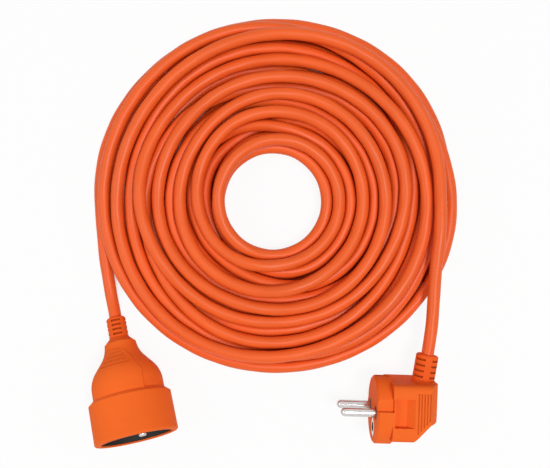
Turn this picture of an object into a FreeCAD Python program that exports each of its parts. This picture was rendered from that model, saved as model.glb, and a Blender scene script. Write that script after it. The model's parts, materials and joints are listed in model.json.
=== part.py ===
import FreeCAD, Part
import math
import os

# A coiled three-core mains extension cord with a trailing socket and a right-angle plug.
# Millimetres, +Z up. The origin is the middle of the coil's eye, on the table that it lies on.
# The socket and the plug are each built in a frame of their own and then laid on the table.

os.makedirs("parts", exist_ok=True)

# Cord: a sheath over three insulated cores
cord_radius = 3.5
sheath_wall = 0.65
core_radius = 1.3
copper_radius = 0.68
core_play = 0.02

# Coil: four layers of loops, each a spiral in or out, wound clockwise seen from above
coil_outer_radius = 96.0
coil_inner_radius = 30.0
coil_start_radius = 101.0
turns_per_layer = 5.5
layer_count = 4
layer_gap = 0.5
climb_quarters = 2

# The cord's free stretches: their points, counted from the coil's first and last point
socket_lead_straight = 6.1
socket_lead_steps = [(5.9, -50.2), (3.9, -39.4), (1.7, -24.5), (0.0, -11.6)]
plug_lead_straight = 15.5
plug_lead_steps = [(0.0, -16.5, 0.0), (-3.7, -37.5, -4.4)]

# Mains pins and contacts, common to the socket and the plug
pin_radius = 2.4
pin_neck_radius = 2.2
pin_length = 19.0
pin_spacing = 19.0
earth_offset = 10.0
contact_wall = 0.6
contact_play = 0.1
contact_end_gap = 0.3
contact_neck = 0.8
contact_slit_width = 0.8
crimp_radius = 1.75
crimp_length = 3.3
crimp_play = 0.07
crimp_floor = 0.8
bore_play = 0.05

# Socket: lengths run from the mouth towards the cord
mouth_radius = 19.2
recess_radius = 19.8
recess_depth = 15.5
insert_wall = 1.0
insert_floor = 3.0
lip_depth = 0.8
collar_wall = 1.9
collar_back_wall = 1.8
collar_length = 21.6
collar_bevel = 2.6
mouth_fillet = 1.2
bell_radius = 19.6
bell_straight_end = 29.0
bell_shoulder_radius = 16.0
bell_slope_deg = 38.0
bell_slope_length = 6.5
bell_hollow_radius = 16.0
bell_end_slope_deg = 8.0
bell_end = 53.3
socket_hole_radius = 2.7
earth_pin_tip = 1.5
earth_pin_nose = 1.4
carrier_radius = 17.0
carrier_length = 14.5
chamber_radius = 13.6
chamber_straight = 6.5
chamber_end = 49.5
chamber_neck_radius = 5.0
socket_sheath_start = 50.6
socket_fan_start = 47.6
socket_core_straight = 2.4
core_bend = 4.5
shield_height = 0.8
shield_half_width = 14.2
shield_start_gap = 1.0
shield_straight_end = 34.0
shield_taper = [(8.8, 42.5), (4.0, 48.6)]
shield_rib_height = 0.35
shield_rib_width = 1.0
shield_rib_pitch = 2.45
shield_rib_count = 4
shield_rib_end = 47.8
shield_rib_half_length = 3.2
shield_rib_growth = 1.6

# Shutter: a slotted plate behind the recess floor, pushed shut by a coil spring
shutter_thickness = 2.2
shutter_play = 0.3
shutter_travel = 5.8
shutter_cover = 3.6
shutter_arm = 9.2
shutter_window_play = 0.1
shutter_edge = 0.6
shutter_half_width = pin_spacing / 2 + socket_hole_radius + shutter_window_play + shutter_edge
shutter_notch_play = 0.8
spring_radius = 1.2
spring_wire = 0.2
spring_turns = 8
spring_length = 10.4
spring_seat_play = 0.3

# Strain reliefs: slotted sleeves on the cord
relief_radius = 5.4
relief_length = 12.3
relief_bevel = 0.7
relief_foot = 2.8
relief_foot_radius = 8.6
slot_width = 1.1
slot_depth = 1.3
slot_span_deg = 56.0
slot_count = 4
socket_slot_pitch = 2.6
plug_relief_radius = 6.15
plug_relief_length = 14.7
plug_slot_pitch = 3.1
plug_foot_flare = 0.5

# Plug: x runs from the face into the body, y towards the cord, z across the flat sides
flange_radius = 18.6
flange_length = 9.2
flange_bevel = 0.9
grip_half_thickness = 18.1
grip_corner = 3.2
grip_back = 35.1
grip_back_flat = 28.4
grip_top = 16.5
grip_bottom = 14.0
grip_heel_y = 4.0
grip_heel_x = 33.5
grip_heel_run = 5.0
grip_heel_rise = 0.3
grip_chamfer_x = 19.5
grip_edge_radius = 2.2
bridge_radius = 14.0
bridge_front = 2.5
bridge_length = 4.9
boss_radius = 3.7
pin_collar_radius = 3.2
pin_collar_start = 4.5
pin_collar_length = 2.0
pin_tail = 12.6
plug_wire_room_y = 12.5
plug_wire_room_z = 12.0
plug_wire_room_wall = 1.5
plug_wire_room_back = 27.5
plug_fan_room_back = 31.6
plug_fan_room_low = -2.0
plug_fan_room_z = 6.5
plug_fan_start = 1.5
plug_fan_end = 3.0
earth_hole_radius = 2.6
earth_sleeve_length = 12.0
earth_plate_radius = 5.3
earth_plate_thickness = 0.8
earth_plate_inset = 0.2
strap_half_width = 2.0
strap_thickness = 0.8
strap_inset = 1.0
strap_front = 0.9
strap_eye_wall = 0.75
notch_low = 2.3
notch_high = 9.1
notch_floor = 16.4
notch_back = 8.6
thumb_low = -6.1
thumb_high = 9.3
thumb_back = 20.8
thumb_depth = 3.5
thumb_slope = 4.7
thumb_slope_rise = 5.0
groove_end_margin = 2.4
grip_groove_count = 5
grip_groove_pitch = 1.55
grip_groove_width = 0.75
grip_groove_depth = 0.5
grip_groove_start = 21.3
grip_groove_top = 12.6
relief_base_x = 27.45
relief_lean_deg = 8.2
plug_sheath_depth = 18.6

# Places on the table
socket_mouth_x = -75.9
socket_mouth_y = -131.7
socket_turn_deg = 14.6
socket_lift_deg = 18.7
socket_roll_deg = -6.0
plug_face_x = 53.2
plug_face_y = -117.8
plug_turn_deg = -2.0

cord_diameter = 2 * cord_radius
sheath_bore = cord_radius - sheath_wall
core_circle = 2 * core_radius / math.sqrt(3) + core_play
half_spacing = pin_spacing / 2
contact_bore = pin_radius + contact_play
contact_radius = contact_bore + contact_wall
crimp_bore = copper_radius + crimp_play
layer_step = cord_diameter + layer_gap
floor_back = recess_depth + insert_floor
insert_radius = recess_radius + insert_wall
collar_mouth_radius = insert_radius + collar_wall
collar_back_radius = insert_radius + collar_back_wall
relief_bore = cord_radius + bore_play

Z_AXIS = FreeCAD.Vector(0, 0, 1)


def vector(x, y, z):
    """A point or direction."""
    return FreeCAD.Vector(x, y, z)


def unit(v):
    """The same direction, of length one."""
    return v * (1.0 / v.Length)


def rod(radius, start, end):
    """A round bar from one point to another."""
    return Part.makeCylinder(radius, (end - start).Length, start, end - start)


def upright(radius, low, high, x=0.0, y=0.0):
    """A round bar along Z between two heights."""
    return Part.makeCylinder(radius, high - low, vector(x, y, low), Z_AXIS)


def block(x_low, x_high, y_low, y_high, z_low, z_high):
    """A box between two corners."""
    return Part.makeBox(x_high - x_low, y_high - y_low, z_high - z_low, vector(x_low, y_low, z_low))


def turned(outline):
    """A solid of revolution about Z from (radius, height) points; ("arc", mid, end) is a round stretch."""
    edges = []
    first = vector(outline[0][0], 0, outline[0][1])
    here = first
    for item in outline[1:]:
        if item[0] == "arc":
            mid = vector(item[1][0], 0, item[1][1])
            there = vector(item[2][0], 0, item[2][1])
            edges.append(Part.Arc(here, mid, there).toShape())
        else:
            there = vector(item[0], 0, item[1])
            edges.append(Part.LineSegment(here, there).toShape())
        here = there
    edges.append(Part.LineSegment(here, first).toShape())
    face = Part.Face(Part.Wire(edges))
    return face.revolve(vector(0, 0, 0), Z_AXIS, 360)


def plate(points, direction):
    """A prism: a polygon of points pushed along a direction."""
    return Part.Face(Part.makePolygon(points + [points[0]])).extrude(direction)


def route_wire(points, largest_bend=None):
    """Straight runs joined by tangent arcs. Returns the wire and the arcs' radii."""
    edges = []
    radii = []
    here = points[0]
    for before, corner, after in zip(points, points[1:], points[2:]):
        back = unit(before - corner)
        ahead = unit(after - corner)
        half_turn = (math.pi - back.getAngle(ahead)) / 2
        shorter = min((before - corner).Length, (after - corner).Length)
        radius = 0.45 * shorter / math.tan(half_turn)
        if largest_bend:
            radius = min(radius, largest_bend)
        reach = radius * math.tan(half_turn)
        arc_start = corner + back * reach
        arc_end = corner + ahead * reach
        inward = unit(back + ahead)
        arc_mid = corner + inward * (radius / math.cos(half_turn) - radius)
        edges.append(Part.LineSegment(here, arc_start).toShape())
        edges.append(Part.Arc(arc_start, arc_mid, arc_end).toShape())
        radii.append(radius)
        here = arc_end
    edges.append(Part.LineSegment(here, points[-1]).toShape())
    return Part.Wire(edges), radii


def swept(wire, radius, start, heading):
    """A round tube along a wire that starts at a point with a heading."""
    ring = Part.Wire([Part.Circle(start, heading, radius).toShape()])
    return wire.makePipeShell([ring], True, False)


def routed_rod(points, radius, largest_bend=None):
    """A round bar along straight runs with rounded corners."""
    wire, radii = route_wire(points, largest_bend)
    return swept(wire, radius, points[0], points[1] - points[0]), wire, radii


def save(name, shape):
    """Write one node's file and say how many solids it holds."""
    shape.exportStep("parts/" + name + ".step")
    print(name, "solids", len(shape.Solids), "volume", round(shape.Volume, 2), "valid", shape.isValid())


# The coil

def coil_station(quarter):
    """Radius, height and the rates of both per quarter turn, a number of quarter turns from the start."""
    spiral_quarters = round(4 * turns_per_layer)
    period = spiral_quarters + climb_quarters
    layer = min(quarter // period, layer_count - 1)
    step = quarter - layer * period
    inward = layer % 2 == 0
    wide = coil_start_radius if layer == 0 else coil_outer_radius
    start, end = (wide, coil_inner_radius) if inward else (coil_inner_radius, wide)
    rate = (end - start) / spiral_quarters
    low = cord_radius + layer * layer_step
    if step <= spiral_quarters:
        at_turn = step == 0 or (step == spiral_quarters and layer < layer_count - 1)
        return start + rate * step, low, rate * (0.5 if at_turn else 1.0), 0.0
    climbed = (step - spiral_quarters) / climb_quarters
    climb = layer_step * climbed ** 2 * (3 - 2 * climbed)
    climb_rate = layer_step * 6 * climbed * (1 - climbed) / climb_quarters
    return end, low + climb, 0.0, climb_rate


def coil_point(quarter):
    """The place and direction of the cord's centreline at a station."""
    radius, height, out_rate, up_rate = coil_station(quarter)
    angle = math.pi - quarter * math.pi / 2
    turning = -math.pi / 2
    place = vector(radius * math.cos(angle), radius * math.sin(angle), height)
    direction = vector(
        out_rate * math.cos(angle) - radius * math.sin(angle) * turning,
        out_rate * math.sin(angle) + radius * math.cos(angle) * turning,
        up_rate,
    )
    return place, unit(direction)


def tangent_arc(start, heading, end):
    """The arc that leaves a point with a heading and ends at another point."""
    chord = end - start
    sideways = heading * (chord.Length ** 2 / (2 * chord.dot(heading)))
    corner = start + sideways
    middle = (start + end) * 0.5
    half_chord = chord.Length / 2
    rise = (corner - middle).Length
    sagitta = half_chord * rise / (half_chord + math.sqrt(rise * rise + half_chord * half_chord))
    return Part.Arc(start, middle + unit(corner - middle) * sagitta, end)


def biarc(start, heading, end, final):
    """Two arcs that join two places and are tangent to both directions and to each other."""
    gap = end - start
    turn = heading + final
    spread = 2 * (1 - heading.dot(final))
    along = gap.dot(turn)
    reach = (-along + math.sqrt(along * along + spread * gap.dot(gap))) / spread
    joint = (start + end + (heading - final) * reach) * 0.5
    joint_heading = unit((end - final * reach) - (start + heading * reach))
    return [tangent_arc(start, heading, joint), tangent_arc(joint, joint_heading, end)]


def least_gap(arcs, arc_samples=6):
    """The least distance between the surfaces of turns that aren't neighbours along the cord."""
    points = []
    for arc in arcs:
        first, last = arc.FirstParameter, arc.LastParameter
        for k in range(arc_samples):
            points.append(arc.value(first + (last - first) * k / arc_samples))
    skip = round(0.6 * 8 * arc_samples)
    least = 1e9
    for i, a in enumerate(points):
        for b in points[i + skip:]:
            least = min(least, (a.x - b.x) ** 2 + (a.y - b.y) ** 2 + (a.z - b.z) ** 2)
    return math.sqrt(least) - cord_diameter


last_quarter = round(4 * turns_per_layer) * layer_count + climb_quarters * (layer_count - 1)
stations = [coil_point(quarter) for quarter in range(last_quarter + 1)]
coil_arcs = []
for (place, direction), (next_place, next_direction) in zip(stations, stations[1:]):
    coil_arcs += biarc(place, direction, next_place, next_direction)
coil_first, first_heading = stations[0]
coil_last, last_heading = stations[-1]
coil_start = coil_first - first_heading * cord_diameter
coil_end = coil_last + last_heading * cord_diameter
coil_edges = [Part.LineSegment(coil_start, coil_first).toShape()]
coil_edges += [arc.toShape() for arc in coil_arcs]
coil_edges.append(Part.LineSegment(coil_last, coil_end).toShape())
coil_wire = Part.Wire(coil_edges)
cord_coil = swept(coil_wire, cord_radius, coil_start, first_heading)
coil_section = math.pi * cord_radius ** 2
print("coil loops", last_quarter / 4, "length", round(coil_wire.Length, 1))
print("coil least gap to itself", round(least_gap(coil_arcs), 3))
print("coil volume over section times length", round(cord_coil.Volume / (coil_section * coil_wire.Length), 4))
save("cord_coil", cord_coil)


# Placing the two connectors

def turn_about(axis, angle):
    """A rotation by degrees about an axis through the origin."""
    return FreeCAD.Rotation(axis, angle)


# The socket rests on its bell's shoulder or its collar's back edge, with its mouth up and outwards.
socket_lift = math.radians(socket_lift_deg)
rest_points = [
    (collar_length, collar_back_radius),
    (bell_straight_end + bell_shoulder_radius * math.sin(socket_lift),
     bell_radius - bell_shoulder_radius * (1 - math.cos(socket_lift))),
]
socket_mouth_z = max(z * math.sin(socket_lift) + r * math.cos(socket_lift) for z, r in rest_points)
socket_turn = turn_about(Z_AXIS, socket_turn_deg)
socket_pitch = turn_about(vector(1, 0, 0), -(90 + socket_lift_deg))
socket_roll = turn_about(Z_AXIS, socket_roll_deg)
socket_place = FreeCAD.Placement(
    vector(socket_mouth_x, socket_mouth_y, socket_mouth_z),
    socket_turn.multiply(socket_pitch).multiply(socket_roll),
)

# The plug lies on its side, on the flange's back edge and the end of the flat grip.
plug_tilt = math.atan2(flange_radius - grip_half_thickness, grip_back_flat - flange_length)
plug_face_z = flange_length * math.sin(plug_tilt) + flange_radius * math.cos(plug_tilt)
plug_place = FreeCAD.Placement(
    vector(plug_face_x, plug_face_y, plug_face_z),
    turn_about(Z_AXIS, plug_turn_deg).multiply(turn_about(vector(0, 1, 0), math.degrees(plug_tilt))),
)


def laid(shape, placement):
    """A piece moved from its connector's own frame to the table."""
    return shape.transformed(placement.toMatrix())


# Strain relief sleeves

def relief_sleeve(radius, length, foot_radius, slot_pitch, first_slot_deg):
    """A slotted sleeve along Z from its foot at 0 to its free end, where the cord comes out."""
    sleeve = turned([
        (relief_bore, -relief_foot),
        (foot_radius, -relief_foot),
        (radius + 0.5, 0.0),
        (radius, 0.6),
        (radius, length - relief_bevel),
        (radius - relief_bevel, length),
        (relief_bore, length),
    ])
    chord = radius * math.sin(math.radians(slot_span_deg / 2))
    first_height = (length - (slot_count - 1) * slot_pitch) / 2
    for side in range(4):
        for row in range(slot_count):
            low = first_height + row * slot_pitch - slot_width / 2
            slot = block(radius - slot_depth, radius + 1, -chord, chord, low, low + slot_width)
            slot.rotate(vector(0, 0, 0), Z_AXIS, first_slot_deg + 90 * side)
            sleeve = sleeve.cut(slot)
    return sleeve


# The socket, in its own frame: Z from the mouth towards the cord, +Y the earth pin's side

def bell_outline(extra=0.0):
    """The bell's side as (radius, height) points and arcs, from its straight part to its end."""
    slope = math.radians(bell_slope_deg)
    end_slope = math.radians(bell_end_slope_deg)
    r0, z0 = bell_radius + extra, bell_straight_end
    r1 = r0 - bell_shoulder_radius * (1 - math.cos(slope))
    z1 = z0 + bell_shoulder_radius * math.sin(slope)
    r_mid = r0 - bell_shoulder_radius * (1 - math.cos(slope / 2))
    z_mid = z0 + bell_shoulder_radius * math.sin(slope / 2)
    r2 = r1 - bell_slope_length * math.sin(slope)
    z2 = z1 + bell_slope_length * math.cos(slope)
    middle = (slope + end_slope) / 2
    r3 = r2 - bell_hollow_radius * (math.cos(end_slope) - math.cos(slope))
    z3 = z2 + bell_hollow_radius * (math.sin(slope) - math.sin(end_slope))
    r2_mid = r2 - bell_hollow_radius * (math.cos(middle) - math.cos(slope))
    z2_mid = z2 + bell_hollow_radius * (math.sin(slope) - math.sin(middle))
    r4 = r3 - (bell_end - z3) * math.tan(end_slope)
    return [
        (r0, z0),
        ("arc", (r_mid, z_mid), (r1, z1)),
        (r2, z2),
        ("arc", (r2_mid, z2_mid), (r3, z3)),
        (r4, bell_end),
    ]


def socket_shield(height):
    """The bell's skin raised by a height, from the collar to the bell's end."""
    return turned([(0.0, collar_length), (bell_radius + height, collar_length)]
                  + bell_outline(height) + [(0.0, bell_end)])


def make_socket_body():
    """The orange housing: collar, bell, shield panel with ribs, and the rooms inside."""
    round_45 = mouth_fillet * math.sqrt(0.5)
    body = turned([
        (0.0, 0.0),
        (collar_mouth_radius - mouth_fillet, 0.0),
        ("arc", (collar_mouth_radius - mouth_fillet + round_45, mouth_fillet - round_45),
         (collar_mouth_radius, mouth_fillet)),
        (collar_back_radius, collar_length),
        (bell_radius, collar_length + collar_bevel),
    ] + bell_outline() + [(0.0, bell_end)])
    half = shield_half_width
    right_side = [(half, collar_length + shield_start_gap), (half, shield_straight_end), *shield_taper]
    outline = right_side + [(-x, z) for x, z in reversed(right_side)]
    panel = plate([vector(x, -2 * bell_radius, z) for x, z in outline], vector(0, 1.8 * bell_radius, 0))
    body = body.fuse(socket_shield(shield_height).common(panel))
    ribs = socket_shield(shield_height + shield_rib_height)
    for row in range(shield_rib_count):
        height = shield_rib_end - row * shield_rib_pitch
        half_length = shield_rib_half_length + row * shield_rib_growth
        bar = block(-half_length, half_length, -2 * bell_radius, -1.0, height - shield_rib_width, height)
        body = body.fuse(ribs.common(bar))
    chamber_corner = floor_back + carrier_length + chamber_straight
    rooms = turned([
        (0.0, -1.0),
        (mouth_radius, -1.0),
        (mouth_radius, lip_depth),
        (insert_radius + bore_play, lip_depth),
        (insert_radius + bore_play, floor_back),
        (carrier_radius + bore_play, floor_back),
        (carrier_radius + bore_play, floor_back + carrier_length),
        (chamber_radius, floor_back + carrier_length),
        (chamber_radius, chamber_corner),
        (chamber_neck_radius, chamber_end),
        (relief_bore, chamber_end),
        (relief_bore, bell_end + 1.0),
        (0.0, bell_end + 1.0),
    ])
    return body.cut(rooms)


def make_socket_insert():
    """The black cup: a wall, a floor with two funnelled holes, and the earth pin's hole."""
    cup = upright(insert_radius, lip_depth, floor_back).cut(upright(recess_radius, 0.0, recess_depth))
    for x in (-half_spacing, half_spacing):
        cup = cup.cut(upright(socket_hole_radius, recess_depth - 1, floor_back + 1, x))
    return cup.cut(upright(pin_neck_radius + bore_play, recess_depth - 1, floor_back + 1, 0, earth_offset))


contact_start = floor_back + shutter_thickness + 2 * shutter_play + contact_end_gap
contact_end = recess_depth + pin_length + contact_end_gap
crimp_start = contact_end + contact_neck
crimp_end = crimp_start + crimp_length


def make_socket_carrier():
    """The block behind the cup: bores for the contacts and the earth pin, and the shutter's pocket."""
    carrier = upright(carrier_radius, floor_back, floor_back + carrier_length)
    pocket_back = floor_back + shutter_thickness + 2 * shutter_play
    side = shutter_half_width + shutter_play
    low = -shutter_cover - shutter_travel - shutter_play
    carrier = carrier.cut(block(-side, side, low, shutter_arm + shutter_play, floor_back - 1, pocket_back))
    channel = spring_radius + spring_wire + spring_seat_play
    spring_end = -shutter_cover - spring_length - spring_seat_play
    middle = floor_back + shutter_play + shutter_thickness / 2
    carrier = carrier.cut(block(-channel, channel, spring_end, low + 1, floor_back - 1, middle + channel))
    past_back = floor_back + carrier_length + 1
    for x in (-half_spacing, half_spacing):
        carrier = carrier.cut(upright(contact_radius + bore_play, floor_back, past_back, x))
    return carrier.cut(upright(pin_neck_radius + bore_play, floor_back - 1, past_back, 0, earth_offset))


def make_shutter():
    """A plate that covers both holes, with two windows that come behind them when it slides."""
    low = floor_back + shutter_play
    high = low + shutter_thickness
    plate_body = block(-shutter_half_width, shutter_half_width, -shutter_cover, shutter_arm, low, high)
    for x in (-half_spacing, half_spacing):
        window = upright(socket_hole_radius + shutter_window_play, low - 1, high + 1, x, shutter_travel)
        plate_body = plate_body.cut(window)
    notch = pin_radius + shutter_notch_play
    return plate_body.cut(block(-notch, notch, earth_offset - notch, shutter_arm + 1, low - 1, high + 1))


def make_shutter_spring():
    """A coil spring between the shutter's edge and the end of its channel."""
    height = spring_length - 2 * spring_seat_play
    helix = Part.makeHelix(height / spring_turns, height, spring_radius)
    wire = Part.Wire(helix.Edges)
    rise = height / spring_turns / (2 * math.pi)
    ring = Part.Circle(vector(spring_radius, 0, 0), vector(0, spring_radius, rise), spring_wire)
    spring = wire.makePipeShell([Part.Wire([ring.toShape()])], True, True)
    spring.rotate(vector(0, 0, 0), vector(1, 0, 0), 90)
    middle = floor_back + shutter_play + shutter_thickness / 2
    spring.translate(vector(0, -shutter_cover - spring_seat_play, middle))
    return spring


def make_contact(x):
    """A split brass tube that grips a pin, with a crimp barrel at its back."""
    tube = upright(contact_radius, contact_start, crimp_start, x)
    tube = tube.fuse(upright(crimp_radius, crimp_start, crimp_end, x))
    tube = tube.cut(upright(contact_bore, contact_start - 1, contact_end, x))
    tube = tube.cut(upright(crimp_bore, crimp_end - crimp_length + crimp_floor, crimp_end + 1, x))
    slit_end = contact_start + 0.6 * (contact_end - contact_start)
    slit = contact_slit_width / 2
    across = 2 * contact_radius
    return tube.cut(block(x - slit, x + slit, -across, across, contact_start - 1, slit_end))


def make_socket_earth_pin():
    """The protruding earth pin, rounded at its tip, with a crimp barrel at its back."""
    nose_45 = earth_pin_nose * math.sqrt(0.5)
    pin = turned([
        (0.0, earth_pin_tip),
        (pin_radius - earth_pin_nose, earth_pin_tip),
        ("arc", (pin_radius - earth_pin_nose + nose_45, earth_pin_tip + earth_pin_nose - nose_45),
         (pin_radius, earth_pin_tip + earth_pin_nose)),
        (pin_radius, recess_depth),
        (pin_neck_radius, recess_depth),
        (pin_neck_radius, crimp_start),
        (crimp_radius, crimp_start),
        (crimp_radius, crimp_end),
        (crimp_bore, crimp_end),
        (crimp_bore, crimp_start + crimp_floor),
        (0.0, crimp_start + crimp_floor),
    ])
    pin.translate(vector(0, earth_offset, 0))
    return pin


def core_start(angle_deg):
    """Where a core lies in the sheath's section."""
    angle = math.radians(angle_deg)
    return core_circle * math.cos(angle), core_circle * math.sin(angle)


socket_end = bell_end + relief_foot + relief_length
socket_fan_end = crimp_end + socket_core_straight


def make_socket_core(angle_deg, x, y):
    """An insulated core from the relief's end to a crimp barrel."""
    x0, y0 = core_start(angle_deg)
    points = [
        vector(x0, y0, socket_end),
        vector(x0, y0, socket_fan_start),
        vector(x, y, socket_fan_end),
        vector(x, y, crimp_end),
    ]
    return routed_rod(points, core_radius, core_bend)[0]


socket_targets = {"line": (-30.0, half_spacing, 0.0), "neutral": (210.0, -half_spacing, 0.0),
                  "earth": (90.0, 0.0, earth_offset)}
socket_copper = []
for name, (angle_deg, x, y) in socket_targets.items():
    save("socket_" + name + "_core", laid(make_socket_core(angle_deg, x, y), socket_place))
    copper = upright(copper_radius, crimp_start + crimp_floor + 0.1, crimp_end, x, y)
    socket_copper.append(laid(copper, socket_place))
save("socket_conductors", Part.makeCompound(socket_copper))

socket_relief = relief_sleeve(relief_radius, relief_length, relief_foot_radius, socket_slot_pitch, 16.0)
socket_relief.translate(vector(0, 0, bell_end + relief_foot))
sheath = upright(cord_radius, socket_sheath_start, socket_end).cut(
    upright(sheath_bore, socket_sheath_start - 1, socket_end + 1))
save("socket_body", laid(make_socket_body(), socket_place))
save("socket_strain_relief", laid(socket_relief, socket_place))
save("socket_insert", laid(make_socket_insert(), socket_place))
save("socket_contact_carrier", laid(make_socket_carrier(), socket_place))
save("socket_shutter", laid(make_shutter(), socket_place))
save("socket_shutter_spring", laid(make_shutter_spring(), socket_place))
save("socket_line_contact", laid(make_contact(half_spacing), socket_place))
save("socket_neutral_contact", laid(make_contact(-half_spacing), socket_place))
save("socket_earth_pin", laid(make_socket_earth_pin(), socket_place))
save("socket_sheath_end", laid(sheath, socket_place))


# The plug, in its own frame: X from the face into the body, Y towards the cord, Z across

relief_lean = math.radians(relief_lean_deg)
relief_direction = vector(math.sin(relief_lean), math.cos(relief_lean), 0)
relief_base = vector(relief_base_x, grip_top, 0)
plug_cord_exit = relief_base + relief_direction * plug_relief_length
plug_foot_radius = plug_relief_radius + plug_foot_flare
chamfer_rise = grip_bottom - grip_heel_y - grip_heel_rise
chamfer_slope = chamfer_rise / (grip_heel_x - grip_heel_run - grip_chamfer_x)


def along_x(radius, low, high, y=0.0, z=0.0):
    """A round bar along X between two depths."""
    return Part.makeCylinder(radius, high - low, vector(low, y, z), vector(1, 0, 0))


def chamfer_height(x):
    """How low the grip's bottom reaches at a depth: flat first, then slanting up to the heel."""
    return -grip_bottom + chamfer_slope * max(0.0, x - grip_chamfer_x)


def grip_solid():
    """The grip: its side outline, its rounded back and its rounded long edges, as one block."""
    edge = grip_edge_radius
    edge_45 = edge * (1 - math.sqrt(0.5))
    front = flange_length - 1.0
    top_back = vector(grip_back - edge, grip_top, 0)
    side_top = vector(grip_back, grip_top - edge, 0)
    corner_mid = vector(grip_back - edge_45, grip_top - edge_45, 0)
    heel = vector(grip_heel_x, -grip_heel_y, 0)
    notch = vector(grip_heel_x - grip_heel_run, -grip_heel_y - grip_heel_rise, 0)
    chamfer_low = vector(grip_chamfer_x, -grip_bottom, 0)
    front_bottom = vector(front, -grip_bottom, 0)
    front_top = vector(front, grip_top, 0)
    corners = [side_top, heel, notch, chamfer_low, front_bottom, front_top, top_back]
    edges = [Part.LineSegment(a, b).toShape() for a, b in zip(corners, corners[1:])]
    edges.append(Part.Arc(top_back, corner_mid, side_top).toShape())
    outline = Part.Face(Part.Wire(edges))
    outline.translate(vector(0, 0, -grip_half_thickness - 1))
    side = outline.extrude(vector(0, 0, 2 * grip_half_thickness + 2))

    flat_low = vector(grip_back_flat, 0, -grip_half_thickness)
    flat_high = vector(grip_back_flat, 0, grip_half_thickness)
    front_low = vector(front, 0, -grip_half_thickness)
    front_high = vector(front, 0, grip_half_thickness)
    plan = Part.Face(Part.Wire([
        Part.LineSegment(front_high, front_low).toShape(),
        Part.LineSegment(front_low, flat_low).toShape(),
        Part.Arc(flat_low, vector(grip_back, 0, 0), flat_high).toShape(),
        Part.LineSegment(flat_high, front_high).toShape(),
    ]))
    plan.translate(vector(0, -grip_bottom - 1, 0))
    rounded_back = plan.extrude(vector(0, grip_bottom + grip_top + 2, 0))

    corner = grip_corner
    section = block(front, grip_back + 1, -grip_bottom, grip_top, -grip_half_thickness, grip_half_thickness)
    long_edges = [e for e in section.Edges if abs(e.tangentAt(e.FirstParameter).x) > 0.9]
    section = section.makeFillet(corner, long_edges)
    return side.common(rounded_back).common(section)


def make_plug_body():
    """The orange housing: round flange, grip with finger recesses and grooves, and the rooms inside."""
    flange = Part.Face(Part.makePolygon([
        vector(0, 0, 0),
        vector(0, flange_radius - flange_bevel, 0),
        vector(flange_bevel, flange_radius, 0),
        vector(flange_length, flange_radius, 0),
        vector(flange_length, 0, 0),
        vector(0, 0, 0),
    ])).revolve(vector(0, 0, 0), vector(1, 0, 0), 360)
    body = flange.fuse(grip_solid())
    for side in (-1, 1):
        outer = side * (grip_half_thickness + thumb_slope_rise)
        floor = side * (grip_half_thickness - thumb_depth)
        recess = [vector(flange_length, thumb_low, floor), vector(thumb_back - thumb_slope, thumb_low, floor),
                  vector(thumb_back + thumb_slope, thumb_low, outer), vector(flange_length, thumb_low, outer)]
        body = body.cut(plate(recess, vector(0, thumb_high - thumb_low, 0)))
        notch_inner, notch_outer = sorted((side * notch_floor, outer))
        body = body.cut(block(-1, notch_back, notch_low, notch_high, notch_inner, notch_outer))
        for row in range(grip_groove_count):
            x = grip_groove_start + row * grip_groove_pitch
            bottom = chamfer_height(x + grip_groove_width) + groove_end_margin
            groove_floor = side * (grip_half_thickness - grip_groove_depth)
            low_z, high_z = sorted((groove_floor, outer))
            body = body.cut(block(x, x + grip_groove_width, bottom, grip_groove_top, low_z, high_z))
    return body.cut(plug_rooms())


bridge_back = bridge_front + bridge_length
strap_outer = flange_radius - strap_inset
strap_back = bridge_back + strap_thickness
strap_eye_radius = contact_radius + bore_play + strap_eye_wall


def plug_wire_room():
    """The hollow behind the bridge, one wall's thickness inside the grip's flat bottom and its slant."""
    wall = plug_wire_room_wall
    front = bridge_back - 0.01
    low = wall - grip_bottom
    turn_x = grip_chamfer_x + wall * (1 - math.sqrt(1 + chamfer_slope ** 2)) / chamfer_slope
    back_low = low + chamfer_slope * (plug_wire_room_back - turn_x)
    outline = [(front, low), (turn_x, low), (plug_wire_room_back, back_low),
               (plug_wire_room_back, plug_wire_room_y), (front, plug_wire_room_y)]
    return plate([vector(x, y, -plug_wire_room_z) for x, y in outline], vector(0, 0, 2 * plug_wire_room_z))


def plug_rooms():
    """What is hollow in the plug's body: the seats of the pieces in its face, and the wire room."""
    rooms = along_x(bridge_radius + bore_play, bridge_front, bridge_back)
    for z in (-half_spacing, half_spacing):
        rooms = rooms.fuse(along_x(boss_radius + bore_play, -1, bridge_front + 1, 0, z))
    rooms = rooms.fuse(along_x(earth_plate_radius + bore_play, -1, bridge_front, -earth_offset))
    width = strap_half_width + bore_play
    for y_low, y_high in ((strap_outer - strap_thickness - bore_play, flange_radius + 1),
                          (-flange_radius - 1, -strap_outer + strap_thickness + bore_play)):
        rooms = rooms.fuse(block(strap_front - bore_play, strap_back, y_low, y_high, -width, width))
    inner = strap_outer - 0.01
    rooms = rooms.fuse(block(bridge_back - 0.01, strap_back, -inner, inner, -width, width))
    behind_bridge = bridge_back - 0.01
    rooms = rooms.fuse(along_x(strap_eye_radius + bore_play, behind_bridge, strap_back, -earth_offset))
    sleeve_end = earth_sleeve_length + contact_end_gap
    rooms = rooms.fuse(along_x(contact_radius + bore_play, behind_bridge, sleeve_end, -earth_offset))
    rooms = rooms.fuse(plug_wire_room())
    rooms = rooms.fuse(block(plug_wire_room_back - 1, plug_fan_room_back, plug_fan_room_low, plug_wire_room_y,
                             -plug_fan_room_z, plug_fan_room_z))
    inside = plug_cord_exit - relief_direction * (plug_sheath_depth + plug_fan_start)
    return rooms.fuse(rod(relief_bore, inside, plug_cord_exit))


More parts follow.
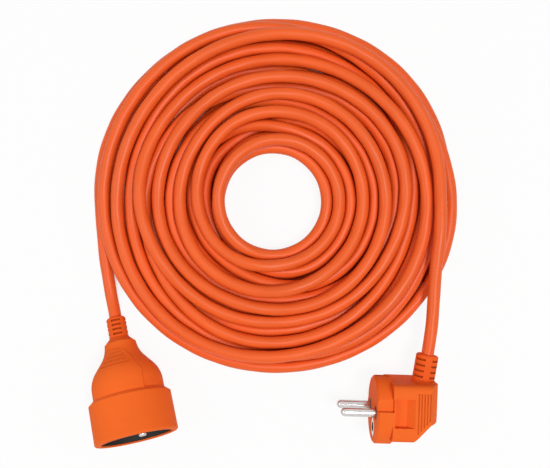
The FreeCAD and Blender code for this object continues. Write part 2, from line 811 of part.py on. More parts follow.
def make_plug_bridge():
    """The black pin carrier: a disc with a boss round each pin and seats for the pins' collars."""
    bridge = along_x(bridge_radius, bridge_front, bridge_back)
    for z in (-half_spacing, half_spacing):
        bridge = bridge.fuse(along_x(boss_radius, 0, bridge_front + 1, 0, z))
    for z in (-half_spacing, half_spacing):
        bridge = bridge.cut(along_x(pin_neck_radius + bore_play, -1, bridge_back + 1, 0, z))
        collar = along_x(pin_collar_radius + bore_play, pin_collar_start - bore_play,
                         pin_collar_start + pin_collar_length + bore_play, 0, z)
        bridge = bridge.cut(collar)
    return bridge.cut(along_x(contact_radius + bore_play, bridge_front - 1, bridge_back + 1, -earth_offset))


def make_plug_pin(z):
    """A bare round pin with a rounded tip, a collar in the bridge and a crimp barrel at its back."""
    tail_end = pin_tail + crimp_length
    pin = turned([
        (0.0, -pin_length),
        ("arc", (pin_radius * math.sqrt(0.5), -pin_length + pin_radius * (1 - math.sqrt(0.5))),
         (pin_radius, -pin_length + pin_radius)),
        (pin_radius, 0.0),
        (pin_neck_radius, 0.0),
        (pin_neck_radius, pin_collar_start),
        (pin_collar_radius, pin_collar_start),
        (pin_collar_radius, pin_collar_start + pin_collar_length),
        (pin_neck_radius, pin_collar_start + pin_collar_length),
        (pin_neck_radius, pin_tail),
        (crimp_radius, pin_tail),
        (crimp_radius, tail_end),
        (crimp_bore, tail_end),
        (crimp_bore, pin_tail + crimp_floor),
        (0.0, pin_tail + crimp_floor),
    ])
    pin.rotate(vector(0, 0, 0), vector(0, 1, 0), 90)
    pin.translate(vector(0, 0, z))
    return pin


def make_earth_sleeve():
    """The female earth contact: a disc in the face with a tube behind it and a crimp barrel."""
    disc_back = earth_plate_inset + earth_plate_thickness
    disc = along_x(earth_plate_radius, earth_plate_inset, disc_back, -earth_offset)
    sleeve = disc.fuse(along_x(contact_radius, earth_plate_inset, earth_sleeve_length, -earth_offset))
    tail_end = pin_tail + crimp_length
    sleeve = sleeve.fuse(along_x(crimp_radius, earth_sleeve_length - 0.6, tail_end, -earth_offset))
    sleeve = sleeve.cut(along_x(earth_hole_radius, -1, earth_sleeve_length - 0.6, -earth_offset))
    return sleeve.cut(along_x(crimp_bore, pin_tail + crimp_floor, tail_end + 1, -earth_offset))


def make_earth_strap():
    """A bent strap behind the bridge, with an eye round the sleeve and a side contact at each end."""
    strap = block(bridge_back, strap_back, -strap_outer, strap_outer, -strap_half_width, strap_half_width)
    for side in (-1, 1):
        low = min(side * strap_outer, side * (strap_outer - strap_thickness))
        leg = block(strap_front, strap_back, low, low + strap_thickness, -strap_half_width, strap_half_width)
        strap = strap.fuse(leg)
    strap = strap.fuse(along_x(strap_eye_radius, bridge_back, strap_back, -earth_offset))
    return strap.cut(along_x(contact_radius + bore_play, bridge_back - 1, strap_back + 1, -earth_offset))


plug_sheath_inner = plug_cord_exit - relief_direction * plug_sheath_depth
across = vector(math.cos(relief_lean), -math.sin(relief_lean), 0)


def make_plug_core(angle_deg, y, z):
    """An insulated core from the relief's end, through the wire room, to a crimp barrel."""
    a, b = core_start(angle_deg)
    offset = across * a + Z_AXIS * b
    tail_end = pin_tail + crimp_length
    points = [
        plug_cord_exit + offset,
        plug_sheath_inner + offset - relief_direction * plug_fan_start,
        vector(tail_end + plug_fan_end, y, z),
        vector(tail_end, y, z),
    ]
    return routed_rod(points, core_radius, core_bend)[0]


plug_targets = {"line": (60.0, 0.0, half_spacing), "neutral": (-60.0, 0.0, -half_spacing),
                "earth": (180.0, -earth_offset, 0.0)}
plug_copper = []
for name, (angle_deg, y, z) in plug_targets.items():
    save("plug_" + name + "_core", laid(make_plug_core(angle_deg, y, z), plug_place))
    copper = along_x(copper_radius, pin_tail + crimp_floor + 0.1, pin_tail + crimp_length, y, z)
    plug_copper.append(laid(copper, plug_place))
save("plug_conductors", Part.makeCompound(plug_copper))

plug_relief = relief_sleeve(plug_relief_radius, plug_relief_length, plug_foot_radius, plug_slot_pitch, 45.0)
plug_relief.rotate(vector(0, 0, 0), vector(1, 0, 0), -90)
plug_relief.rotate(vector(0, 0, 0), Z_AXIS, -relief_lean_deg)
plug_relief.translate(relief_base)
plug_sheath = rod(cord_radius, plug_sheath_inner, plug_cord_exit).cut(
    rod(sheath_bore, plug_sheath_inner - relief_direction, plug_cord_exit + relief_direction))
plug_body = make_plug_body().cut(
    rod(plug_foot_radius, relief_base - relief_direction * relief_foot, plug_cord_exit))
save("plug_body", laid(plug_body, plug_place))
save("plug_strain_relief", laid(plug_relief, plug_place))
save("plug_bridge", laid(make_plug_bridge(), plug_place))
save("plug_line_pin", laid(make_plug_pin(half_spacing), plug_place))
save("plug_neutral_pin", laid(make_plug_pin(-half_spacing), plug_place))
save("plug_earth_sleeve", laid(make_earth_sleeve(), plug_place))
save("plug_earth_strap", laid(make_earth_strap(), plug_place))
save("plug_sheath_end", laid(plug_sheath, plug_place))


# The cord's free stretches, from each strain relief to the coil

socket_exit = socket_place.multVec(vector(0, 0, socket_end))
socket_heading = socket_place.Rotation.multVec(Z_AXIS)
socket_lead_points = [
    socket_exit,
    socket_exit + socket_heading * socket_lead_straight,
    *[vector(coil_start.x + x, coil_start.y + y, cord_radius) for x, y in socket_lead_steps],
    coil_start,
]
plug_exit = plug_place.multVec(plug_cord_exit)
plug_heading = plug_place.Rotation.multVec(relief_direction)
plug_lead_points = [
    coil_end,
    *[coil_end + vector(x, y, z) for x, y, z in plug_lead_steps],
    plug_exit + plug_heading * plug_lead_straight,
    plug_exit,
]
for name, points in (("cord_socket_lead", socket_lead_points), ("cord_plug_lead", plug_lead_points)):
    lead, wire, radii = routed_rod(points, cord_radius)
    print(name, "length", round(wire.Length, 1), "radii", [round(r, 1) for r in radii])
    print(name, "volume over section times length", round(lead.Volume / (coil_section * wire.Length), 4))
    print(name, "lowest", round(lead.BoundBox.ZMin, 3))
    save(name, lead)
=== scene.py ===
import json
import logging
import math
from dataclasses import dataclass, field
from enum import Enum

import bmesh
import bpy
import numpy as np
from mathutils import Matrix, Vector


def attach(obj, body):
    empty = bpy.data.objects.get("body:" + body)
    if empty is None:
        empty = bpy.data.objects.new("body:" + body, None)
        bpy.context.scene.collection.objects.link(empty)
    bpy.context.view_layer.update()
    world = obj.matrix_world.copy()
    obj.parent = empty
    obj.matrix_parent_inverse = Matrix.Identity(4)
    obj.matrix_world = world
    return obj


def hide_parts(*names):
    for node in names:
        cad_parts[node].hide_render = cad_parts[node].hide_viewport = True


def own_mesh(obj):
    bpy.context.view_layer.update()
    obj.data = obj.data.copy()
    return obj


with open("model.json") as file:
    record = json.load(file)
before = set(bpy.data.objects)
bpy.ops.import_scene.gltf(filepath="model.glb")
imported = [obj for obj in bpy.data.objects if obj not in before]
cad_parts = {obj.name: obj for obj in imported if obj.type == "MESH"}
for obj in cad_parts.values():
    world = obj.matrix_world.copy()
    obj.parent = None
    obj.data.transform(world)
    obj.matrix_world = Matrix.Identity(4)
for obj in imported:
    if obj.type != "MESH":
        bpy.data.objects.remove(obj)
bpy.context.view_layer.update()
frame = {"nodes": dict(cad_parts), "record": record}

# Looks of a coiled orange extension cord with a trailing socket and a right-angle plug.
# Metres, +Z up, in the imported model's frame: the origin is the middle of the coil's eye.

Point = tuple[float, float, float]
Colour = tuple[float, float, float]
Span = tuple[float, float]
Steps = tuple[Span, ...]

CORD_BODY = "cord_set"
CORD_PLACE = "cord_place"
CAMERA_PLACE: Point = (-0.0011, -0.0208, 0.430)

# A screen's values rise on a straight foot up to the knee, and then as a power.
SCREEN_WHITE = 255.0
SCREEN_KNEE = 0.04045
SCREEN_FOOT = 12.92
SCREEN_SHIFT = 0.055
SCREEN_SPAN = 1.055
SCREEN_POWER = 2.4

# Below these the settling cord's sums would divide by nothing.
NEARLY_PARALLEL = 1e-6
LEAST_DISTANCE = 1e-6
LEAST_OFFSET = 1e-9

log = logging.getLogger("extension_cord")


class Slot(Enum):
    """The record's finishes that a new piece can take."""

    CORD = "orange_cord"
    SPRING = "spring_steel"


class Metal(Enum):
    """The metals in the cord set, by their colour in linear light."""

    NICKEL = (0.64, 0.61, 0.60)
    BRASS = (0.78, 0.52, 0.20)
    SPRING_STEEL = (0.52, 0.53, 0.55)
    COPPER = (0.85, 0.42, 0.26)


def linear(red: int, green: int, blue: int) -> Colour:
    """Turns a screen colour into linear light.

    Args:
        red, green, blue: The screen values, from 0 to 255.

    Returns:
        The three values in linear light.
    """
    values = []
    for value in (red, green, blue):
        share = value / SCREEN_WHITE
        if share <= SCREEN_KNEE:
            values.append(share / SCREEN_FOOT)
        else:
            values.append(((share + SCREEN_SHIFT) / SCREEN_SPAN) ** SCREEN_POWER)
    return tuple(values)


def shade(colour: Colour, amount: float) -> Colour:
    """Makes a colour lighter or darker by a factor."""
    return tuple(min(1.0, value * amount) for value in colour)


def shades(colour: Colour, steps: Steps) -> list[tuple[float, Colour]]:
    """Gives a ramp's stops, each a position with a lighter or darker shade of one colour."""
    return [(position, shade(colour, amount)) for position, amount in steps]


def smooth_step(share: np.ndarray) -> np.ndarray:
    """Eases a share that runs from 0 to 1 at both of its ends."""
    return share * share * (3 - 2 * share)


# Node helpers


@dataclass(frozen=True)
class Pattern:
    """A noise pattern: how fine it is, its detail, and its squeeze along each axis."""

    scale: float
    detail: float
    squeeze: Point = (1, 1, 1)


class NodeBench:
    """A node tree with short calls to add nodes and join them."""

    def __init__(self, tree: bpy.types.NodeTree) -> None:
        """Takes the tree that the nodes go in."""
        self.tree = tree

    def node(self, kind: str, **settings: object) -> bpy.types.Node:
        """Adds a node.

        Args:
            kind: The node's type name.
            settings: Properties of the node to set.

        Returns:
            The new node.
        """
        made = self.tree.nodes.new(kind)
        for name, value in settings.items():
            setattr(made, name, value)
        return made

    def join(self, source: bpy.types.NodeSocket, target: bpy.types.NodeSocket) -> None:
        """Links an output to an input."""
        self.tree.links.new(source, target)

    def maths(self, operation: str, first: object, second: object = None) -> bpy.types.NodeSocket:
        """Adds a Math node.

        Args:
            operation: The Math node's operation.
            first: A socket or a number.
            second: A socket or a number, where the operation has two.

        Returns:
            The node's output.
        """
        made = self.node("ShaderNodeMath", operation=operation)
        for index, value in enumerate((first, second)):
            if isinstance(value, bpy.types.NodeSocket):
                self.join(value, made.inputs[index])
            elif value is not None:
                made.inputs[index].default_value = value
        return made.outputs[0]


class SurfaceBench(NodeBench):
    """The node tree of one material, with the nodes that every finish here shares."""

    NOISE_SPAN: Span = (0.3, 0.7)
    COVER_SAMPLES = 8
    RAMP_MIDDLE = 0.5
    MIX_SHARE, MIX_DEEP, MIX_TOP = 0, 6, 7
    MIXED_COLOUR = 2

    def __init__(self, name: str) -> None:
        """Makes the material with a principled shader and its output.

        Args:
            name: The material's name.
        """
        self.material = bpy.data.materials.new(name)
        self.material.use_nodes = True
        super().__init__(self.material.node_tree)
        self.tree.nodes.clear()
        self.shader = self.node("ShaderNodeBsdfPrincipled")
        output = self.node("ShaderNodeOutputMaterial")
        self.join(self.shader.outputs["BSDF"], output.inputs["Surface"])

    def place(self, squeeze: Point = (1, 1, 1), attribute: str = "") -> bpy.types.NodeSocket:
        """Gives the coordinates that a pattern is laid out in.

        Args:
            squeeze: How much the pattern is squeezed along each axis.
            attribute: The mesh attribute to read, or nothing for object coordinates.

        Returns:
            A vector socket.
        """
        if attribute:
            source = self.node("ShaderNodeAttribute", attribute_name=attribute).outputs["Vector"]
        else:
            source = self.node("ShaderNodeTexCoord").outputs["Object"]
        mapping = self.node("ShaderNodeMapping")
        mapping.inputs["Scale"].default_value = squeeze
        self.join(source, mapping.inputs["Vector"])
        return mapping.outputs["Vector"]

    def noise(self, pattern: Pattern, attribute: str = "") -> bpy.types.NodeSocket:
        """Adds a noise pattern.

        Args:
            pattern: The pattern's sizes.
            attribute: The mesh attribute to lay it out in, or nothing for object coordinates.

        Returns:
            A value socket.
        """
        place = self.place(pattern.squeeze, attribute)
        made = self.node("ShaderNodeTexNoise")
        made.inputs["Scale"].default_value = pattern.scale
        made.inputs["Detail"].default_value = pattern.detail
        self.join(place, made.inputs["Vector"])
        return made.outputs["Fac"]

    def colours(self, share: bpy.types.NodeSocket, stops: list[tuple[float, Colour]]) -> bpy.types.NodeSocket:
        """Turns a value into a colour along a ramp.

        Args:
            share: The value, from 0 to 1.
            stops: The ramp's positions, in order, with their colours.

        Returns:
            A colour socket.
        """
        ramp = self.node("ShaderNodeValToRGB")
        elements = ramp.color_ramp.elements
        while len(elements) < len(stops):
            elements.new(self.RAMP_MIDDLE)
        for element, (position, colour) in zip(elements, stops):
            element.position = position
            element.color = (*colour, 1.0)
        self.join(share, ramp.inputs["Fac"])
        return ramp.outputs["Color"]

    def between(self, share: bpy.types.NodeSocket, low: float, high: float) -> bpy.types.NodeSocket:
        """Spreads a noise value over a range.

        Args:
            share: The noise value.
            low, high: The ends of the range.

        Returns:
            A value socket.
        """
        spread = self.node("ShaderNodeMapRange")
        spread.inputs["From Min"].default_value = self.NOISE_SPAN[0]
        spread.inputs["From Max"].default_value = self.NOISE_SPAN[1]
        spread.inputs["To Min"].default_value = low
        spread.inputs["To Max"].default_value = high
        self.join(share, spread.inputs["Value"])
        return spread.outputs["Result"]

    def openness(self, reach: float, low: float, high: float, own: bool = True) -> bpy.types.NodeSocket:
        """Gives 0 in narrow gaps and 1 in the open, from ambient occlusion, for painting shade into gaps.

        Args:
            reach: How far off a wall still counts, in metres.
            low, high: The open shares that give 0 and 1.
            own: Whether only the piece's own walls count.

        Returns:
            A value socket.
        """
        cover = self.node("ShaderNodeAmbientOcclusion", samples=self.COVER_SAMPLES, only_local=own)
        cover.inputs["Distance"].default_value = reach
        spread = self.node("ShaderNodeMapRange")
        spread.inputs["From Min"].default_value = low
        spread.inputs["From Max"].default_value = high
        self.join(cover.outputs["AO"], spread.inputs["Value"])
        return spread.outputs["Result"]

    def with_painted_shade(
        self, share: bpy.types.NodeSocket, painted_shade_colour: Colour, top: bpy.types.NodeSocket
    ) -> bpy.types.NodeSocket:
        """Mixes a painted shade colour for the gaps with the colour of the open surface.

        Args:
            share: 0 in the gaps and 1 in the open.
            painted_shade_colour: The colour in the gaps.
            top: The colour of the open surface.

        Returns:
            A colour socket.
        """
        mix = self.node("ShaderNodeMix", data_type="RGBA")
        self.join(share, mix.inputs[self.MIX_SHARE])
        mix.inputs[self.MIX_DEEP].default_value = (*painted_shade_colour, 1.0)
        self.join(top, mix.inputs[self.MIX_TOP])
        return mix.outputs[self.MIXED_COLOUR]

    def relief(self, height: bpy.types.NodeSocket, depth: float, strength: float) -> None:
        """Adds a bump over those that are there.

        Args:
            height: The bump's height, from 0 to 1.
            depth: The bump's depth, in metres.
            strength: The share of the bump that shows.
        """
        bump = self.node("ShaderNodeBump")
        bump.inputs["Strength"].default_value = strength
        bump.inputs["Distance"].default_value = depth
        self.join(height, bump.inputs["Height"])
        under = self.shader.inputs["Normal"]
        if under.links:
            self.join(under.links[0].from_socket, bump.inputs["Normal"])
        self.join(bump.outputs["Normal"], under)


# Finishes


@dataclass(frozen=True)
class Finish:
    """One finish of the cord set."""

    name: str

    def material(self) -> bpy.types.Material:
        """Gives the finish's material, which is made once."""
        return bpy.data.materials.get(self.name) or self.made()

    def made(self) -> bpy.types.Material:
        """Makes the material."""
        raise NotImplementedError


@dataclass(frozen=True)
class SheathFinish(Finish):
    """Extruded satin PVC: streaks along the cord, soft gloss, faint scuffs and painted shade between the
    loops.
    """

    colour: Colour
    painted_shade_colour: Colour
    gloss: float = 0.25
    roughness: Span = (0.34, 0.44)
    streaks: Pattern = Pattern(900.0, 2.0, (1, 1, 0.02))
    streak_depth: float = 0.00004
    streak_strength: float = 0.5
    grain: Pattern = Pattern(3200.0, 1.0, (1, 1, 0.5))
    grain_depth: float = 0.000012
    grain_strength: float = 0.6
    scuffs: Pattern = Pattern(55.0, 3.0, (1, 1, 0.35))
    scuff_shades: Steps = ((0.3, 0.93), (0.55, 1.0), (0.75, 1.05))
    # Painted shade: the colour turns deep red-brown where other loops lie within this reach.
    painted_shade_reach: float = 0.004
    painted_shade_open: Span = (0.1, 0.7)

    def made(self) -> bpy.types.Material:
        """Makes the material from the cord's own lengthwise coordinates.

        Returns:
            The material.
        """
        bench = SurfaceBench(self.name)
        streaks = bench.noise(self.streaks, CORD_PLACE)
        grain = bench.noise(self.grain, CORD_PLACE)
        scuffs = bench.noise(self.scuffs, CORD_PLACE)
        # Painted shade between the loops, from ambient occlusion.
        gaps = bench.openness(self.painted_shade_reach, *self.painted_shade_open)
        scuffed = bench.colours(scuffs, shades(self.colour, self.scuff_shades))
        bench.join(bench.with_painted_shade(gaps, self.painted_shade_colour, scuffed), bench.shader.inputs["Base Color"])
        bench.join(bench.between(scuffs, *self.roughness), bench.shader.inputs["Roughness"])
        bench.shader.inputs["Specular IOR Level"].default_value = self.gloss
        bench.relief(streaks, self.streak_depth, self.streak_strength)
        bench.relief(grain, self.grain_depth, self.grain_strength)
        return bench.material


@dataclass(frozen=True)
class MouldedFinish(Finish):
    """Injection-moulded plastic with the fine grain of a spark-eroded tool, and painted shade in its
    crevices.
    """

    colour: Colour
    roughness: float = 0.60
    roughness_spread: Span = (-0.05, 0.07)
    gloss: float = 0.05
    flow: Pattern = Pattern(38.0, 3.0, (1, 1, 0.6))
    flow_stops: tuple[float, float, float] = (0.3, 0.5, 0.72)
    variation: float = 0.05
    grain_size: float = 0.00035
    grain_detail: float = 2.0
    grain_depth: float = 0.00003
    grain_strength: float = 0.5
    # Painted shade: the colour darkens in crevices narrower than this width.
    crevice_width: float = 0.0012
    crevice_open: Span = (0.35, 0.85)
    painted_crevice_shade: float = 0.7

    def made(self) -> bpy.types.Material:
        """Makes the material from object coordinates, with shade painted into the crevices.

        Returns:
            The material.
        """
        bench = SurfaceBench(self.name)
        flow = bench.noise(self.flow)
        grain = bench.noise(Pattern(1.0 / self.grain_size, self.grain_detail))
        steps = tuple(zip(self.flow_stops, (1 - self.variation, 1, 1 + self.variation)))
        # Painted shade in the crevices, from ambient occlusion.
        gaps = bench.openness(self.crevice_width, *self.crevice_open)
        painted_shade_colour = shade(self.colour, self.painted_crevice_shade)
        dressed = bench.with_painted_shade(gaps, painted_shade_colour, bench.colours(flow, shades(self.colour, steps)))
        bench.join(dressed, bench.shader.inputs["Base Color"])
        low, high = self.roughness_spread
        rough = bench.between(grain, self.roughness + low, self.roughness + high)
        bench.join(rough, bench.shader.inputs["Roughness"])
        bench.shader.inputs["Specular IOR Level"].default_value = self.gloss
        bench.relief(grain, self.grain_depth, self.grain_strength)
        return bench.material


@dataclass(frozen=True)
class MetalFinish(Finish):
    """Turned, pressed or drawn metal with fine tool marks and dulled patches."""

    metal: Metal
    roughness: float = 0.2
    roughness_spread: Span = (-0.04, 0.08)
    marks: Pattern = Pattern(5200.0, 2.0, (0.12, 1, 1))
    mark_depth: float = 0.000006
    mark_strength: float = 0.5
    patches: Pattern = Pattern(260.0, 3.0)
    patch_shades: Steps = ((0.3, 0.88), (0.6, 1.0), (0.8, 1.08))

    def made(self) -> bpy.types.Material:
        """Makes the material from object coordinates.

        Returns:
            The material.
        """
        bench = SurfaceBench(self.name)
        marks = bench.noise(self.marks)
        patches = bench.noise(self.patches)
        dulled = bench.colours(patches, shades(self.metal.value, self.patch_shades))
        bench.join(dulled, bench.shader.inputs["Base Color"])
        low, high = self.roughness_spread
        rough = bench.between(patches, self.roughness + low, self.roughness + high)
        bench.join(rough, bench.shader.inputs["Roughness"])
        bench.shader.inputs["Metallic"].default_value = 1.0
        bench.relief(marks, self.mark_depth, self.mark_strength)
        return bench.material


@dataclass(frozen=True)
class InsulationFinish(Finish):
    """Thin glossy insulation of a core, with a second colour in stripes where it has one."""

    # The length at which a wave texture of scale 1 repeats.
    WAVE_LENGTH = 0.314

    colour: Colour
    stripe: Colour | None = None
    stripe_pitch: float = 0.0028
    stripe_edges: Span = (0.46, 0.54)
    stripe_waver: float = 0.2
    roughness: Span = (0.28, 0.4)
    flow: Pattern = Pattern(420.0, 2.0)
    flow_shades: Steps = ((0.3, 0.9), (0.7, 1.08))
    flow_depth: float = 0.00002
    flow_strength: float = 0.3

    def made(self) -> bpy.types.Material:
        """Makes the material from object coordinates.

        Returns:
            The material.
        """
        bench = SurfaceBench(self.name)
        flow = bench.noise(self.flow)
        if self.stripe is None:
            dyed = bench.colours(flow, shades(self.colour, self.flow_shades))
        else:
            wave = bench.node("ShaderNodeTexWave", bands_direction="DIAGONAL")
            wave.inputs["Scale"].default_value = self.WAVE_LENGTH / self.stripe_pitch
            wave.inputs["Distortion"].default_value = self.stripe_waver
            bench.join(bench.place(), wave.inputs["Vector"])
            stops = list(zip(self.stripe_edges, (self.colour, self.stripe)))
            dyed = bench.colours(wave.outputs["Fac"], stops)
        bench.join(dyed, bench.shader.inputs["Base Color"])
        bench.join(bench.between(flow, *self.roughness), bench.shader.inputs["Roughness"])
        bench.relief(flow, self.flow_depth, self.flow_strength)
        return bench.material


# The sheath's second colour is painted shade for the gaps between its loops.
SHEATH = SheathFinish("sheath_pvc", linear(242, 100, 40), painted_shade_colour=linear(186, 50, 8))
# The moulded finishes carry painted shade in their crevices, deepest on the relief.
HOUSING = MouldedFinish("housing_pvc", linear(247, 108, 40))
RELIEF = MouldedFinish("relief_pvc", linear(243, 98, 36), grain_size=0.0005, painted_crevice_shade=0.35)
BLACK = MouldedFinish("black_plastic", linear(22, 15, 13), roughness=0.7, variation=0.2)
NICKEL = MetalFinish("nickel_plate", Metal.NICKEL, roughness=0.16)
BRASS = MetalFinish("bare_brass", Metal.BRASS, roughness=0.24)
SPRING = MetalFinish("spring_wire", Metal.SPRING_STEEL, roughness=0.28)
COPPER = MetalFinish("bare_copper", Metal.COPPER, roughness=0.26)
BROWN = InsulationFinish("brown_insulation", linear(96, 56, 34))
BLUE = InsulationFinish("blue_insulation", linear(36, 88, 178))
GREEN_YELLOW = InsulationFinish("green_yellow_insulation", linear(34, 128, 60), stripe=linear(236, 208, 40))


# The cord


@dataclass(frozen=True)
class CoilSizes:
    """How the cord was wound: layers of loops, each a spiral in or out."""

    start_radius: float = 0.101
    outer_radius: float = 0.096
    inner_radius: float = 0.030
    turns_per_layer: float = 5.5
    layers: int = 4
    layer_step: float = 0.0075
    climb_turns: float = 0.5
    fade_turns: float = 0.4
    points_per_turn: int = 36
    uneven_radius: float = 0.0016
    uneven_middle: float = 0.0022
    inner_evenness: float = 1.6
    knots_per_turn: int = 2
    spare_knots: int = 4
    seed: int = 4


@dataclass
class LoosePile:
    """Lets wound cord drop and spread until its loops lie on the table and on each other.

    The eye and the outline are those of the photograph, on the table as the camera sees it.
    """

    cord_diameter: float
    rounds: int = 600
    drop: float = 0.00006
    full_drop_share: float = 0.7
    late_drop: float = 0.3
    clearance: float = 0.00006
    push_rate: float = 1.6
    straighten: float = 0.12
    unbend: float = 0.15
    reach: float = 0.003
    pair_rounds: int = 20
    nearest_neighbour: int = 16
    least_bend: float = 0.032
    bend_give: float = 0.5
    bend_steps: tuple[int, ...] = (1, 2, 3)
    sight: Point = CAMERA_PLACE
    eye_middle: Span = (-0.0023, -0.0019)
    eye_radius: float = 0.0315
    outline_middle: Span = (-0.0002, 0.0013)
    outline_half: Span = (0.1030, 0.0993)

    def near_pairs(self, line: np.ndarray) -> tuple[np.ndarray, np.ndarray]:
        """Finds the pairs of stretches that could touch.

        Args:
            line: The cord's points.

        Returns:
            The first and the second stretch of each pair.
        """
        middle = (line[1:] + line[:-1]) / 2
        half = np.linalg.norm(line[1:] - line[:-1], axis=1) / 2
        apart = np.linalg.norm(middle[:, None, :] - middle[None, :, :], axis=2)
        apart -= half[:, None] + half[None, :]
        first, second = np.where(apart < self.cord_diameter + self.reach)
        keep = second > first + self.nearest_neighbour
        return first[keep], second[keep]

    @staticmethod
    def nearest(line: np.ndarray, first: np.ndarray, second: np.ndarray) -> tuple[np.ndarray, np.ndarray]:
        """Finds where each pair of stretches comes nearest.

        Args:
            line: The cord's points.
            first, second: The first and the second stretch of each pair.

        Returns:
            The places on both stretches, as shares of their lengths.
        """
        run_a = line[first + 1] - line[first]
        run_b = line[second + 1] - line[second]
        between = line[first] - line[second]
        aa = np.einsum("ij,ij->i", run_a, run_a)
        bb = np.einsum("ij,ij->i", run_b, run_b)
        ab = np.einsum("ij,ij->i", run_a, run_b)
        a_gap = np.einsum("ij,ij->i", run_a, between)
        b_gap = np.einsum("ij,ij->i", run_b, between)
        spread = aa * bb - ab * ab
        crossing = spread > NEARLY_PARALLEL * aa * bb
        share_a = np.where(crossing, (ab * b_gap - a_gap * bb) / np.where(crossing, spread, 1.0), 0.5)
        share_a = np.clip(share_a, 0, 1)
        share_b = (ab * share_a + b_gap) / bb
        held_b = np.clip(share_b, 0, 1)
        share_a = np.where(share_b != held_b, np.clip((ab * held_b - a_gap) / aa, 0, 1), share_a)
        return share_a, held_b

    def push_apart(self, line: np.ndarray, free: np.ndarray, first: np.ndarray, second: np.ndarray) -> None:
        """Moves touching stretches apart until a cord's diameter lies between them.

        Args:
            line: The cord's points, which are moved.
            free: Which points may move.
            first, second: The first and the second stretch of each pair.
        """
        gap = self.cord_diameter + self.clearance
        share_a, share_b = self.nearest(line, first, second)
        place_a = line[first] + (line[first + 1] - line[first]) * share_a[:, None]
        place_b = line[second] + (line[second + 1] - line[second]) * share_b[:, None]
        away = place_a - place_b
        distance = np.linalg.norm(away, axis=1)
        touching = distance < gap
        away = away[touching] / np.maximum(distance[touching], LEAST_DISTANCE)[:, None]
        push = away * ((gap - distance[touching]) / 2)[:, None]
        first, second = first[touching], second[touching]
        share_a, share_b = share_a[touching], share_b[touching]
        points = np.concatenate([first, first + 1, second, second + 1])
        shares = np.concatenate([1 - share_a, share_a, 1 - share_b, share_b])
        pushes = np.concatenate([push, push, -push, -push]) * shares[:, None]
        weight = np.maximum(np.bincount(points, shares, len(line)), 1.0)
        for axis in range(3):
            total = np.bincount(points, pushes[:, axis], len(line))
            line[free, axis] += (self.push_rate * total / weight)[free]

    def keep_in_outline(self, line: np.ndarray, free: np.ndarray) -> None:
        """Keeps the loops out of the coil's eye and inside its outline, as the camera sees them.

        Args:
            line: The cord's points, which are moved.
            free: Which points may move.
        """
        shrink = (self.sight[2] - line[:, 2]) / self.sight[2]
        seen = (line[:, :2] - self.sight[:2]) / shrink[:, None] + self.sight[:2]
        from_eye = seen - self.eye_middle
        eye = np.linalg.norm(from_eye, axis=1)
        inside = free & (eye < self.eye_radius)
        seen[inside] = self.eye_middle + from_eye[inside] * (self.eye_radius / eye[inside])[:, None]
        from_middle = seen - self.outline_middle
        share = np.linalg.norm(from_middle / self.outline_half, axis=1)
        outside = free & (share > 1)
        seen[outside] = self.outline_middle + from_middle[outside] / share[outside][:, None]
        moved = inside | outside
        line[moved, :2] = ((seen - self.sight[:2]) * shrink[:, None] + self.sight[:2])[moved]

    def settled(self, wound: np.ndarray, free: np.ndarray) -> np.ndarray:
        """Settles the cord.

        Args:
            wound: The cord's points as it was wound.
            free: Which points may move.

        Returns:
            The points where they come to rest.
        """
        line = wound.copy()
        for turn in range(self.rounds):
            if turn % self.pair_rounds == 0:
                first, second = self.near_pairs(line)
            early = turn < self.full_drop_share * self.rounds
            line[free, 2] -= self.drop if early else self.late_drop * self.drop
            moved = line - wound
            bend = np.zeros_like(moved)
            bend[1:-1] = (moved[:-2] + moved[2:]) / 2 - moved[1:-1]
            twice = np.zeros_like(moved)
            twice[1:-1] = (bend[:-2] + bend[2:]) / 2 - bend[1:-1]
            line[free] += self.straighten * bend[free] - self.unbend * twice[free]
            self.push_apart(line, free, first, second)
            self.push_apart(line, free, first, second)
            self.ease_bends(line, free)
            line[:, 2] = np.maximum(line[:, 2], self.cord_diameter / 2)
            self.keep_in_outline(line, free)
        return line

    def ease_bends(self, line: np.ndarray, free: np.ndarray) -> None:
        """Opens the bends that are tighter than the cord takes, over short and longer stretches.

        Args:
            line: The cord's points, which are moved.
            free: Which points may move.
        """
        for step in self.bend_steps:
            off = (line[:-2 * step] + line[2 * step:]) / 2 - line[step:-step]
            size = np.linalg.norm(off, axis=1)
            chord = np.linalg.norm(line[2 * step:] - line[:-2 * step], axis=1) / 2
            limit = chord ** 2 / (2 * self.least_bend)
            share = self.bend_give * np.clip(1 - limit / np.maximum(size, LEAST_OFFSET), 0, 1)
            move = off * share[:, None]
            total = np.zeros_like(line)
            total[step:-step] += move
            total[:-2 * step] -= move / 2
            total[2 * step:] -= move / 2
            line[free] += total[free]


